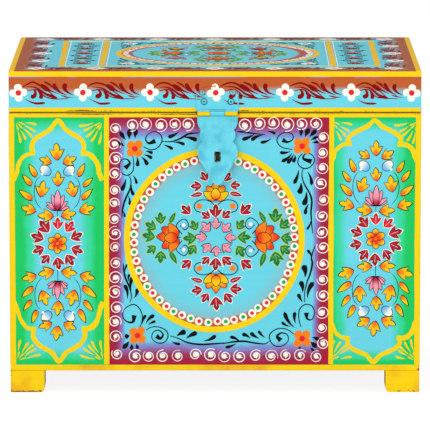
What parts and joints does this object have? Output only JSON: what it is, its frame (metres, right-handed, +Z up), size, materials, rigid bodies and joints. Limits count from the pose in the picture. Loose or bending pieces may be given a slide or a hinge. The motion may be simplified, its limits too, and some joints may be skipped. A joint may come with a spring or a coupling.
{
  "type": "hinged wooden storage box",
  "caption": "Rectangular wooden storage box with a hinged lid, front hasp and staple, block feet and painted folk floral ornament.",
  "frame": {"origin": "middle of the whole part's bounding box at the underside of the feet, hasp and hinge barrels included", "axes": "+X to the right-hand end seen from the front, +Y to the hinged back, +Z up"},
  "size_m": [0.41, 0.3064, 0.325],
  "materials": {
    "turquoise_boards": "gloss enamel over wood, folk ornament painted by hand",
    "yellow_boards": "gloss enamel over wood, worn and soiled at the corners",
    "painted_sheet": "gloss enamel over sheet steel",
    "bare_iron": "dark, lightly rusted"
  },
  "bodies": {
    "carcass": {"back_board": "turquoise_boards", "back_hinge_left_carcass_leaf": "painted_sheet", "back_hinge_left_pin": "bare_iron", "back_hinge_right_carcass_leaf": "painted_sheet", "back_hinge_right_pin": "bare_iron", "bottom_board": "yellow_boards", "bottom_board_nails": "bare_iron", "carcass_corner_nails": "bare_iron", "carcass_hinge_screws": "bare_iron", "foot_back_left": "yellow_boards", "foot_back_right": "yellow_boards", "foot_front_left": "yellow_boards", "foot_front_right": "yellow_boards", "foot_nails": "bare_iron", "front_board": "turquoise_boards", "left_end_board": "turquoise_boards", "right_end_board": "turquoise_boards", "staple": "bare_iron"},
    "lid": {"lid_front_rail": "turquoise_boards", "lid_back_rail": "turquoise_boards", "lid_left_rail": "turquoise_boards", "lid_right_rail": "turquoise_boards", "lid_top_board": "turquoise_boards", "back_hinge_left_lid_leaf": "painted_sheet", "back_hinge_right_lid_leaf": "painted_sheet", "lid_corner_nails": "bare_iron", "lid_top_nails": "bare_iron", "lid_hinge_screws": "bare_iron", "hasp_leaf": "painted_sheet", "hasp_pin": "bare_iron", "hasp_screws": "bare_iron"},
    "hasp": {"hasp_plate": "painted_sheet"}
  },
  "joints": [
    {"name": "lid_open", "type": "hinge", "parent": "carcass", "child": "lid", "pos_m": [0, 0.15022, 0.283], "axis": [-1, 0, 0], "range_deg": [0, 180]},
    {"name": "hasp_swing", "type": "hinge", "parent": "lid", "child": "hasp", "pos_m": [0.0025, -0.14078, 0.283], "axis": [-1, 0, 0], "range_deg": [-11, 165]}
  ]
}
